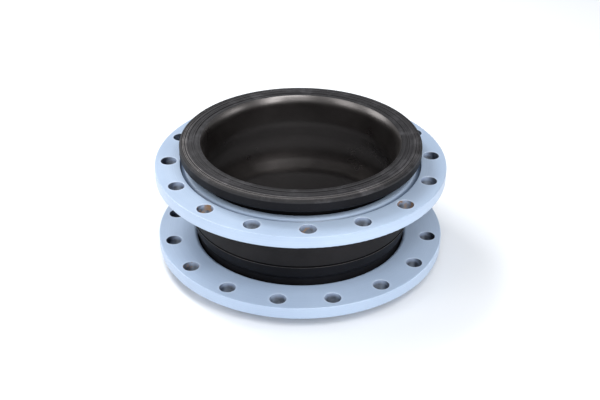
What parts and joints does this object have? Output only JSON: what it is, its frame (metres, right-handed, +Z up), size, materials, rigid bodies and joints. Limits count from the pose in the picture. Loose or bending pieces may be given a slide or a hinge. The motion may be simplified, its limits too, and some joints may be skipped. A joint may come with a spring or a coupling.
{
  "type": "rubber expansion joint",
  "caption": "Single-arch rubber expansion joint: a moulded cord-reinforced rubber bellows with wire-hoop beads and a loose drilled steel flange at each end.",
  "frame": {"origin": "centre of the lower sealing face, which is the face the joint stands on", "axes": "+Z up the bore towards the upper sealing face; +Y away from the front; +X to the right"},
  "size_m": [0.58, 0.58, 0.25],
  "materials": {
    "flange_paint": "light blue paint, satin",
    "cover_rubber": "moulded black rubber, satin",
    "belt_rubber": "moulded black rubber, matt",
    "liner_rubber": "smooth black rubber, soft gloss",
    "face_rubber": "grey-black moulded rubber, matt",
    "core_rubber": "hard bonded rubber",
    "cord_fabric": "rubberised nylon cord",
    "hoop_wire": "drawn steel wire"
  },
  "bodies": {
    "lower_end": {"lower_face_ring": "face_rubber", "lower_bead_filler_inner": "core_rubber", "lower_bead_filler_outer": "core_rubber", "inner_liner": "liner_rubber", "outer_cover": "cover_rubber"},
    "compression_stage": {"inner_ply_1": "cord_fabric", "inner_ply_2": "cord_fabric", "cushion_rubber": "core_rubber"},
    "offset_stage": {"outer_ply_1": "cord_fabric", "outer_ply_2": "cord_fabric", "crown_belt": "belt_rubber"},
    "upper_end": {"upper_face_ring": "face_rubber", "upper_bead_filler_inner": "core_rubber", "upper_bead_filler_outer": "core_rubber"},
    "lower_hoop": {"lower_bead_hoop": "hoop_wire"},
    "lower_flange": {"lower_flange": "flange_paint"},
    "upper_hoop": {"upper_bead_hoop": "hoop_wire"},
    "upper_flange": {"upper_flange": "flange_paint"}
  },
  "joints": [
    {"name": "axial_stroke", "type": "slide", "parent": "lower_end", "child": "compression_stage", "axis": [0, 0, 1], "range_m": [-0.025, 0.016], "stiffness_N_per_m": 300000, "deforming": ["outer_cover", "inner_liner", "inner_ply_1", "inner_ply_2", "cushion_rubber"]},
    {"name": "lateral_offset", "type": "slide", "parent": "compression_stage", "child": "offset_stage", "axis": [1, 0, 0], "range_m": [-0.022, 0.022], "stiffness_N_per_m": 250000, "deforming": ["outer_ply_1", "outer_ply_2", "crown_belt"]},
    {"name": "angular_tilt", "type": "hinge", "parent": "offset_stage", "child": "upper_end", "pos_m": [0, 0, 0.125], "axis": [0, 1, 0], "range_deg": [-7.5, 7.5], "stiffness_Nm_per_rad": 2000},
    {"name": "lower_flange_turn", "type": "hinge", "parent": "lower_end", "child": "lower_hoop", "pos_m": [0, 0, 0.014], "axis": [0, 0, 1], "continuous": true},
    {"name": "lower_flange_float", "type": "slide", "parent": "lower_hoop", "child": "lower_flange", "axis": [0, 0, 1], "range_m": [0, 0.018]},
    {"name": "upper_flange_turn", "type": "hinge", "parent": "upper_end", "child": "upper_hoop", "pos_m": [0, 0, 0.236], "axis": [0, 0, 1], "continuous": true},
    {"name": "upper_flange_float", "type": "slide", "parent": "upper_hoop", "child": "upper_flange", "axis": [0, 0, 1], "range_m": [0, 0.018]}
  ]
}
